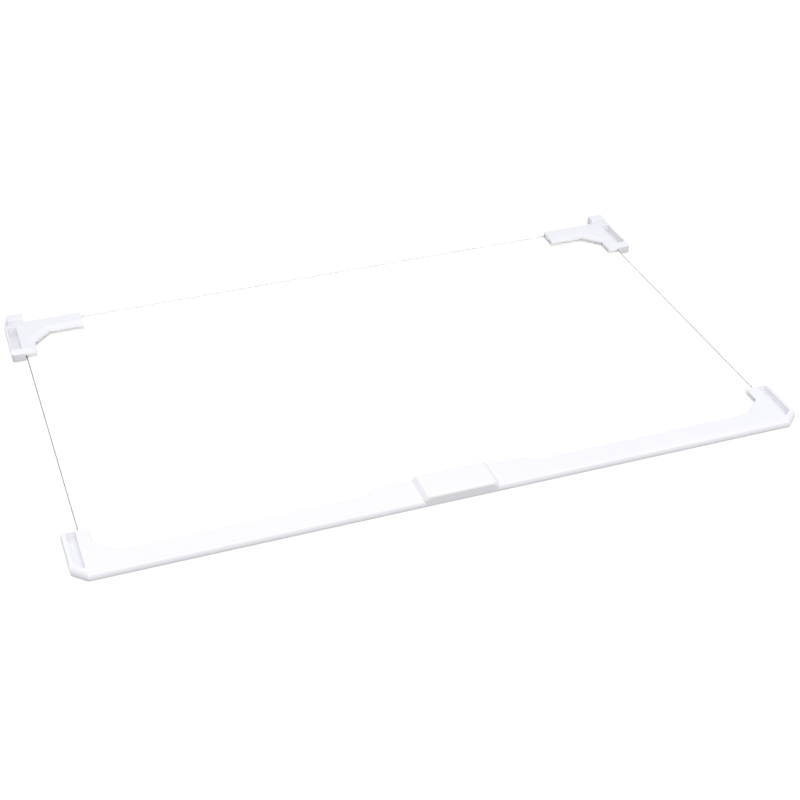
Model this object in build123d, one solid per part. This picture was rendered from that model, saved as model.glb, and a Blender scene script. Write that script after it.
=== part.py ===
from build123d import *
from math import atan2, degrees
import os

# Refrigerator shelf: a tempered glass plate with a moulded front trim and two moulded rear corner clips.
# Millimetres. +X to the right, +Y to the back, +Z up, origin at the middle of the underside.

# Glass plate
glass_width = 475.0
glass_depth = 296.0
glass_thickness = 3.2
glass_corner_radius = 3.0
glass_arris = 0.4

# Fit of the plate in the mouldings
floor_lip = 1.1
slot_clearance = 0.05
edge_clearance = 0.6

# Front trim: section
front_wall = 5.9
trim_lip = 1.3
trim_cover = 12.1
nose_radius = 4.1
base_edge_round = 1.5
top_edge_round = 1.0

# Front trim: ends
trim_overhang = 11.2
corner_cut_x = 9.1
corner_cut_y = 8.8
corner_round = 2.5
end_length = 45.2
end_corner_break = 1.2
tab_inset = 6.8
gusset = 13.6
gusset_round = 14.0

# Front trim: tongue and raised block in the middle
tongue_half_width = 59.0
tongue_step = 6.0
block_width = 52.5
block_side_slant = 3.0
block_rise = 2.8
block_corner_radius = 3.0
block_edge_radius = 1.8

# Recesses beside the plate, in the trim's ends and in the clips
recess_floor = 1.4
recess_corner_radius = 0.8
trim_rim = 3.1
trim_web = 1.4
pocket_rear_wall = 1.8
pocket_front_wall = 4.4
clip_rim = 1.4
clip_web = 1.4
channel_rear_wall = 5.0
channel_front_wall = 7.4

# Rear clips
clip_overhang = 10.1
clip_lip = 2.4
clip_rear_wall = 1.2
clip_arm_reach = 46.6
clip_arm_cover = 15.5
clip_side_cover = 8.2
clip_side_length = 42.4
clip_gusset = 12.7
clip_bevel_width = 5.8
clip_bevel_drop = 0.75
clip_corner_break = 1.5
clip_edge_round = 0.4
clip_corner_round = 1.0

# Locating lug at the rear of each clip
lug_reach = 7.6
lug_overlap = 1.0
lug_inset = 4.4
lug_width = 12.0
lug_rise = 4.3
lug_edge_radius = 0.8
lug_base_slant = 7.0

# Two places closer than this count as one
same_place = 0.001

# Derived places
overall_depth = front_wall + glass_depth + lug_reach
front_y = -overall_depth / 2
glass_front_y = front_y + front_wall
glass_rear_y = glass_front_y + glass_depth
trim_cover_y = glass_front_y + trim_cover
glass_side_x = glass_width / 2
slot_side_x = glass_side_x + edge_clearance
trim_side_x = glass_side_x + trim_overhang
clip_side_x = glass_side_x + clip_overhang
glass_base_z = floor_lip + slot_clearance
glass_top_z = glass_base_z + glass_thickness
slot_top_z = glass_top_z + slot_clearance
trim_top_z = slot_top_z + trim_lip
block_top_z = trim_top_z + block_rise
clip_top_z = slot_top_z + clip_lip
lug_top_z = clip_top_z + lug_rise


def prism(points, bottom_z, top_z):
    """A straight-sided solid on a closed outline of (x, y) points."""
    outline = make_face(Polyline(*points, close=True))
    return Pos(0, 0, bottom_z) * extrude(outline, amount=top_z - bottom_z, dir=(0, 0, 1))


def box_between(low, high):
    """A box between two opposite corners."""
    size = [b - a for a, b in zip(low, high)]
    return Pos(*low) * Box(*size, align=(Align.MIN, Align.MIN, Align.MIN))


def both_sides(points):
    """Points on +X, followed by their mirror images in reverse order."""
    return list(points) + [(-x, y) for x, y in reversed(points)]


def edges_at(solid, z):
    """The edges that lie flat at one height."""
    level = solid.edges().filter_by_position(Axis.Z, z - same_place, z + same_place)
    return [e for e in level if e.bounding_box().size.Z < same_place]


def upright_edges(solid, places):
    """The vertical edges that stand at the given (x, y) places."""
    return [
        e
        for e in solid.edges().filter_by(Axis.Z)
        if any(abs(e.center().X - x) + abs(e.center().Y - y) < same_place for x, y in places)
    ]


def glass_space():
    """The room that the plate and its clearances take out of the mouldings."""
    return box_between(
        (-slot_side_x, glass_front_y - edge_clearance, floor_lip),
        (slot_side_x, glass_rear_y + edge_clearance, slot_top_z),
    )


def glass_plate():
    """The plate, with rounded corners and ground edges."""
    plate = box_between(
        (-glass_side_x, glass_front_y, glass_base_z),
        (glass_side_x, glass_rear_y, glass_top_z),
    )
    plate = fillet(plate.edges().filter_by(Axis.Z), glass_corner_radius)
    rims = edges_at(plate, glass_base_z) + edges_at(plate, glass_top_z)
    return chamfer(rims, glass_arris)


def trim_body():
    """The bar along the front with its two end tabs, before the nose is rounded."""
    end_y = front_y + end_length
    tab_x = glass_side_x - tab_inset
    front_corner = (trim_side_x - corner_cut_x, front_y)
    side_corner = (trim_side_x, front_y + corner_cut_y)
    gusset_foot = (tab_x - gusset, trim_cover_y)
    outline = both_sides(
        [
            front_corner,
            side_corner,
            (trim_side_x, end_y - end_corner_break),
            (trim_side_x - end_corner_break, end_y),
            (tab_x, end_y),
            (tab_x, trim_cover_y + gusset),
            gusset_foot,
            (tongue_half_width, trim_cover_y),
            (tongue_half_width - tongue_step, trim_cover_y + tongue_step),
        ]
    )
    body = prism(outline, 0, trim_top_z)
    body = fillet(upright_edges(body, both_sides([gusset_foot])), gusset_round)
    body = fillet(upright_edges(body, both_sides([front_corner, side_corner])), corner_round)
    outer_base = [
        e
        for e in edges_at(body, 0)
        if e.center().Y < trim_cover_y - same_place or abs(e.center().X) > glass_side_x
    ]
    body = fillet(outer_base, base_edge_round)
    return fillet(edges_at(body, trim_top_z), top_edge_round)


def nose_cut(length):
    """What the rounded nose takes off a straight wall along X whose outer face is at Y zero."""
    low_z = trim_top_z - nose_radius
    corner = box_between((-length / 2, 0, low_z), (length / 2, nose_radius, trim_top_z))
    roll = Cylinder(nose_radius, length, rotation=(0, 90, 0))
    return corner - Pos(0, nose_radius, low_z) * roll


def corner_nose_cut():
    """What the nose takes off along the cut corner at the right end of the trim."""
    turn = degrees(atan2(corner_cut_y, corner_cut_x))
    middle = (trim_side_x - corner_cut_x / 2, front_y + corner_cut_y / 2)
    return Pos(*middle) * Rot(0, 0, turn) * nose_cut(2 * (corner_cut_x + corner_cut_y))


def raised_block():
    """The bare raised block in the middle of the trim, flush with its front and the tongue's rear edge."""
    base_x = block_width / 2
    top_x = base_x - block_side_slant
    section = both_sides([(base_x, base_edge_round), (base_x, trim_top_z), (top_x, block_top_z)])
    face = Plane.XZ * make_face(Polyline(*section, close=True))
    depth = front_wall + trim_cover + tongue_step
    body = Pos(0, front_y, 0) * extrude(face, amount=depth, dir=(0, 1, 0))
    front_corners = [
        e
        for e in body.edges()
        if abs(e.center().Y - front_y) < same_place and abs(e.center().X) > top_x + same_place
    ]
    body = fillet(front_corners, block_corner_radius)
    return fillet(edges_at(body, block_top_z), block_edge_radius)


def end_pocket():
    """The open recess in the right end of the trim, between the plate's web and the outer rim."""
    inner_x = slot_side_x + trim_web
    rim_x = trim_side_x - trim_rim
    rear_y = front_y + end_length - pocket_rear_wall
    # the front end runs parallel to the cut corner, one wall behind it
    slope = corner_cut_y / corner_cut_x
    set_back = pocket_front_wall * (1 + slope**2) ** 0.5
    slant_y = front_y + set_back - (trim_side_x - corner_cut_x) * slope
    recess = prism(
        [
            (inner_x, rear_y),
            (inner_x, slant_y + inner_x * slope),
            (rim_x, slant_y + rim_x * slope),
            (rim_x, rear_y),
        ],
        recess_floor,
        block_top_z,
    )
    return fillet(recess.edges().filter_by(Axis.Z), recess_corner_radius)


def front_trim():
    """The whole trim: bar, nose, raised block, slot for the plate and the two end recesses."""
    trim = trim_body() - Pos(0, front_y) * nose_cut(2 * trim_side_x)
    trim -= corner_nose_cut()
    trim -= mirror(corner_nose_cut(), about=Plane.YZ)
    trim += raised_block()
    trim -= glass_space()
    trim -= end_pocket()
    return trim - mirror(end_pocket(), about=Plane.YZ)


def clip_body():
    """The right-hand corner clip's two arms, with the inner top edges bevelled down to the plate."""
    arm_x = glass_side_x - clip_arm_reach
    arm_y = glass_rear_y - clip_arm_cover
    side_x = glass_side_x - clip_side_cover
    side_y = glass_rear_y - clip_side_length
    rear_y = glass_rear_y + edge_clearance + clip_rear_wall
    lug_x = glass_side_x - lug_inset
    lug_y = glass_rear_y + lug_reach
    outline = [
        (arm_x, rear_y),
        (arm_x, arm_y),
        (side_x - clip_gusset, arm_y),
        (side_x, arm_y - clip_gusset),
        (side_x, side_y),
        (clip_side_x, side_y),
        (clip_side_x, lug_y - lug_base_slant),
        (lug_x + lug_width, lug_y),
        (lug_x, lug_y),
        (lug_x, rear_y),
    ]
    body = prism(outline, 0, clip_top_z)
    rear_corners = [
        (arm_x, rear_y),
        (clip_side_x, lug_y - lug_base_slant),
        (lug_x + lug_width, lug_y),
        (lug_x, lug_y),
    ]
    body = fillet(upright_edges(body, rear_corners), clip_corner_round)
    top_face = body.faces().sort_by(Axis.Z)[-1]
    bevelled = [
        e
        for e in edges_at(body, clip_top_z)
        if arm_x + same_place < e.center().X < clip_side_x - clip_corner_break
        and e.center().Y < arm_y + same_place
    ]
    body = chamfer(bevelled, clip_bevel_width, clip_bevel_drop, reference=top_face)
    body = chamfer(upright_edges(body, [(clip_side_x, side_y)]), clip_corner_break)
    outer = [
        e
        for e in edges_at(body, clip_top_z)
        if e.center().Y > rear_y - same_place
        or e.center().X < arm_x + same_place
        or e.center().X > clip_side_x - clip_corner_break
    ]
    return fillet(outer, clip_edge_round)


def locating_lug():
    """The stop that stands up at the rear of the right-hand clip."""
    left_x = glass_side_x - lug_inset
    body = box_between(
        (left_x, glass_rear_y - lug_overlap, slot_top_z),
        (left_x + lug_width, glass_rear_y + lug_reach, lug_top_z),
    )
    body = fillet(body.edges().filter_by(Axis.Z), clip_corner_round)
    return fillet(edges_at(body, lug_top_z), lug_edge_radius)


def side_channel():
    """The open recess along the right-hand clip, between the plate's web and the outer rim."""
    recess = box_between(
        (slot_side_x + clip_web, glass_rear_y - clip_side_length + channel_front_wall, recess_floor),
        (clip_side_x - clip_rim, glass_rear_y - channel_rear_wall, lug_top_z),
    )
    return fillet(recess.edges().filter_by(Axis.Z), recess_corner_radius)


def rear_clip():
    """The right-hand corner clip with its lug, its slot for the plate and its recess."""
    return clip_body() + locating_lug() - glass_space() - side_channel()


right_clip = rear_clip()
nodes = {
    "glass_plate": glass_plate(),
    "front_trim": front_trim(),
    "rear_clip_left": mirror(right_clip, about=Plane.YZ),
    "rear_clip_right": right_clip,
}
os.makedirs("parts", exist_ok=True)
for name, solid in nodes.items():
    export_step(solid, f"parts/{name}.step")
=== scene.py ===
import math

import bpy
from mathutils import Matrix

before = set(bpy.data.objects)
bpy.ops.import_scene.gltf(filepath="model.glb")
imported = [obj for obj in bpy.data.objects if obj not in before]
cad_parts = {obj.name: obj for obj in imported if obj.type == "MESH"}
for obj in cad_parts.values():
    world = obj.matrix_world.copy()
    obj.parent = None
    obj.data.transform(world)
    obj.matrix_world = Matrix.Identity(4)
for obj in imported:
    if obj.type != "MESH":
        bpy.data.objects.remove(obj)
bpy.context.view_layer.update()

# Glass plate.
# One sheet of soda-lime float glass, cut with rounded corners, ground along its edges and toughened by heat.
# It lies loose in the slots of the trim and the clips, and its broad faces stay polished and clear.


def linear(hex_colour):
    """The linear colour, with full alpha, of an sRGB hex value."""
    channels = [int(hex_colour[i : i + 2], 16) / 255 for i in (1, 3, 5)]
    return [c / 12.92 if c <= 0.04045 else ((c + 0.055) / 1.055) ** 2.4 for c in channels] + [1.0]


def add_node(tree, kind, values=None, links=None, **settings):
    """Adds a node with its own settings, its sockets' values and the outputs its sockets are linked to."""
    node = tree.nodes.new(kind)
    for name, setting in settings.items():
        setattr(node, name, setting)
    for socket, value in (values or {}).items():
        node.inputs[socket].default_value = value
    for socket, output in (links or {}).items():
        tree.links.new(output, node.inputs[socket])
    return node


def empty_material(name):
    """A material with no nodes yet, and its node tree."""
    material = bpy.data.materials.new(name)
    material.use_nodes = True
    material.node_tree.nodes.clear()
    return material, material.node_tree


# Toughened float glass: polished broad faces that show only what lies behind and the light they mirror,
# and ground edges that are half frosted, so that they scatter light into a grey line.
# The plate is so clear that the lamps light what lies under it nearly as if it were not there.
glass, tree = empty_material("toughened_float_glass")
glass_ior = 1.52
polished_roughness = 0.0
ground_roughness = 0.55
ground_clearness = 0.95
level_face = 0.95  # the upright part of the normal, below which a face is part of the ground edge
roller_wave = 0.26  # metres between the faint waves that the furnace rollers leave
wave_height = 0.00002  # metres
wave_strength = 0.3
wave_wander = 0.4
band_spacing = math.tau / 20  # metres between the bands of a wave pattern at scale 1
absorption = 1.0  # for each metre of glass
geometry = add_node(tree, "ShaderNodeNewGeometry")
facing = add_node(tree, "ShaderNodeSeparateXYZ", links={"Vector": geometry.outputs["Normal"]})
upright = add_node(tree, "ShaderNodeMath", operation="ABSOLUTE", links={0: facing.outputs["Z"]})
ground = add_node(tree, "ShaderNodeMath", {1: level_face}, {0: upright.outputs[0]}, operation="LESS_THAN")
tint = add_node(
    tree,
    "ShaderNodeMix",
    {"A": linear("#FFFFFF"), "B": linear("#C6C4C8")},
    {"Factor": ground.outputs[0]},
    data_type="RGBA",
)
roughness = add_node(
    tree,
    "ShaderNodeMapRange",
    {"To Min": polished_roughness, "To Max": ground_roughness},
    {"Value": ground.outputs[0]},
)
clearness = add_node(
    tree,
    "ShaderNodeMapRange",
    {"To Min": 1.0, "To Max": ground_clearness},
    {"Value": ground.outputs[0]},
)
place = add_node(tree, "ShaderNodeTexCoord")
wave = add_node(
    tree,
    "ShaderNodeTexWave",
    {"Scale": band_spacing / roller_wave, "Distortion": wave_wander, "Detail": 0.0},
    {"Vector": place.outputs["Object"]},
    bands_direction="Y",
)
bump = add_node(
    tree,
    "ShaderNodeBump",
    {"Strength": wave_strength, "Distance": wave_height},
    {"Height": wave.outputs["Fac"]},
)
surface = add_node(
    tree,
    "ShaderNodeBsdfPrincipled",
    {"IOR": glass_ior},
    {
        "Base Color": tint.outputs["Result"],
        "Roughness": roughness.outputs[0],
        "Transmission Weight": clearness.outputs[0],
        "Normal": bump.outputs[0],
    },
)
path = add_node(tree, "ShaderNodeLightPath")
lamplight = add_node(tree, "ShaderNodeBsdfTransparent", {"Color": linear("#F4F4EC")})
clear_plate = add_node(
    tree,
    "ShaderNodeMixShader",
    links={0: path.outputs["Is Shadow Ray"], 1: surface.outputs[0], 2: lamplight.outputs[0]},
)
inside = add_node(
    tree, "ShaderNodeVolumeAbsorption", {"Color": linear("#DCE2DE"), "Density": absorption}
)
add_node(
    tree,
    "ShaderNodeOutputMaterial",
    links={"Surface": clear_plate.outputs[0], "Volume": inside.outputs[0]},
)
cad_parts["glass_plate"].material_slots[0].material = glass

# Front trim.
# One injection moulding in white ABS along the front edge, with an end tab round each front corner of the
# glass and a raised block in the middle. It is pushed onto the glass, which its two lips hold.

# White moulded ABS: pigmented and opaque, with the soft gloss and faint grain of a spark-eroded mould
# and slightly uneven flow, so that its white is never quite even.
plastic, tree = empty_material("white_moulded_abs")
abs_ior = 1.53
gloss_roughness = 0.26
dull_roughness = 0.36
grain_pitch = 0.0007  # metres; the real grain is about 0.1 mm, drawn coarser to show
grain_height = 0.000012  # metres
grain_strength = 0.35
flow_pitch = 0.045  # metres between the cloudy streaks that the melt leaves
place = add_node(tree, "ShaderNodeTexCoord")
flow = add_node(
    tree,
    "ShaderNodeTexNoise",
    {"Scale": 1 / flow_pitch, "Detail": 3.0, "Roughness": 0.5},
    {"Vector": place.outputs["Object"]},
)
white = add_node(
    tree,
    "ShaderNodeMix",
    {"A": linear("#F1F1F4"), "B": linear("#F5F5F7")},
    {"Factor": flow.outputs["Fac"]},
    data_type="RGBA",
)
roughness = add_node(
    tree,
    "ShaderNodeMapRange",
    {"To Min": gloss_roughness, "To Max": dull_roughness},
    {"Value": flow.outputs["Fac"]},
)
grain = add_node(
    tree,
    "ShaderNodeTexNoise",
    {"Scale": 1 / grain_pitch, "Detail": 2.0},
    {"Vector": place.outputs["Object"]},
)
bump = add_node(
    tree,
    "ShaderNodeBump",
    {"Strength": grain_strength, "Distance": grain_height},
    {"Height": grain.outputs["Fac"]},
)
surface = add_node(
    tree,
    "ShaderNodeBsdfPrincipled",
    {"IOR": abs_ior},
    {"Base Color": white.outputs["Result"], "Roughness": roughness.outputs[0], "Normal": bump.outputs[0]},
)
add_node(tree, "ShaderNodeOutputMaterial", links={"Surface": surface.outputs[0]})
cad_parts["front_trim"].material_slots[0].material = plastic

# Rear clips.
# Two mirror-image corner pieces moulded in the same white ABS and pushed onto the rear corners of the glass,
# each with a recess along its outer side and a lug standing up at the rear.
for clip in ("rear_clip_left", "rear_clip_right"):
    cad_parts[clip].material_slots[0].material = plastic

# Floor.
# A wide sheet of matt paper under the shelf. A glow of its own, added to the light that it sends back,
# makes it white to the eye, in a gloss and through the glass, with a faint shadow where the shelf stands.
floor_half = 6.0
floor_drop = 0.0002  # metres below the underside, so that the two never meet
paper_glow = 0.88
corners = [(x * floor_half, y * floor_half, -floor_drop) for x, y in ((-1, -1), (1, -1), (1, 1), (-1, 1))]
sheet = bpy.data.meshes.new("paper_floor")
sheet.from_pydata(corners, [], [(0, 1, 2, 3)])
floor = bpy.data.objects.new("paper_floor", sheet)
bpy.context.scene.collection.objects.link(floor)


def seen_along(tree, *rays):
    """An output that is 1 for light on the given kinds of path and 0 for all other light."""
    path = add_node(tree, "ShaderNodeLightPath")
    seen = path.outputs[rays[0]]
    for ray in rays[1:]:
        either = add_node(
            tree, "ShaderNodeMath", links={0: seen, 1: path.outputs[ray]}, operation="MAXIMUM"
        )
        seen = either.outputs[0]
    return seen


paper, tree = empty_material("matt_paper")
matt = add_node(tree, "ShaderNodeBsdfDiffuse", {"Color": linear("#7D7D78")})
seen = seen_along(tree, "Is Camera Ray", "Is Glossy Ray", "Is Transmission Ray")
glow_strength = add_node(tree, "ShaderNodeMath", {1: paper_glow}, {0: seen}, operation="MULTIPLY")
glow = add_node(
    tree, "ShaderNodeEmission", {"Color": linear("#FFFFFF")}, {"Strength": glow_strength.outputs[0]}
)
both = add_node(tree, "ShaderNodeAddShader", links={0: matt.outputs[0], 1: glow.outputs[0]})
add_node(tree, "ShaderNodeOutputMaterial", links={"Surface": both.outputs[0]})
sheet.materials.append(paper)

# Studio light.
# A pale, slightly cool room that looks white to the eye, in a gloss and through the glass, and two
# soft boxes: a wide one above and in front of the shelf, and a smaller, weaker one above and behind it.
room = bpy.data.worlds.new("white_studio")
room.use_nodes = True
bpy.context.scene.world = room
tree = room.node_tree
tree.nodes.clear()
room_light = 0.64
walls = add_node(tree, "ShaderNodeBackground", {"Color": linear("#F6F6FF"), "Strength": room_light})
white_walls = add_node(tree, "ShaderNodeBackground", {"Color": linear("#FFFFFF"), "Strength": 1.0})
seen = seen_along(tree, "Is Camera Ray", "Is Glossy Ray", "Is Transmission Ray")
either = add_node(
    tree, "ShaderNodeMixShader", links={0: seen, 1: walls.outputs[0], 2: white_walls.outputs[0]}
)
add_node(tree, "ShaderNodeOutputWorld", links={"Surface": either.outputs[0]})


def soft_box(name, width, depth, watts, place, lean):
    """A rectangular lamp that points down and leans towards the back by so many degrees."""
    light = bpy.data.lights.new(name, "AREA")
    light.shape = "RECTANGLE"
    light.size = width
    light.size_y = depth
    light.energy = watts
    lamp = bpy.data.objects.new(name, light)
    lamp.location = place
    lamp.rotation_euler = (math.radians(lean), 0, 0)
    bpy.context.scene.collection.objects.link(lamp)


soft_box("front_soft_box", width=2.9, depth=0.5, watts=17.8, place=(0.05, -1.115, 1.283), lean=41)
soft_box("rear_soft_box", width=1.8, depth=0.4, watts=5.0, place=(-0.2, 1.2, 1.45), lean=-40)
bpy.context.scene.view_settings.view_transform = "Standard"

# Camera.
# In front of the shelf, to its left and above it, at the distance that gives the photograph's perspective.
camera_place = (-0.3018, -0.88415, 0.61225)
camera_tilt = 55.836  # degrees up from looking straight down
camera_turn = -19.576  # degrees; a minus turns it to the right
lens = bpy.data.cameras.new("camera")
lens.sensor_width = 36.0
lens.lens = 70.15
camera = bpy.data.objects.new("camera", lens)
camera.location = camera_place
camera.rotation_euler = (math.radians(camera_tilt), 0, math.radians(camera_turn))
bpy.context.scene.collection.objects.link(camera)
bpy.context.scene.camera = camera
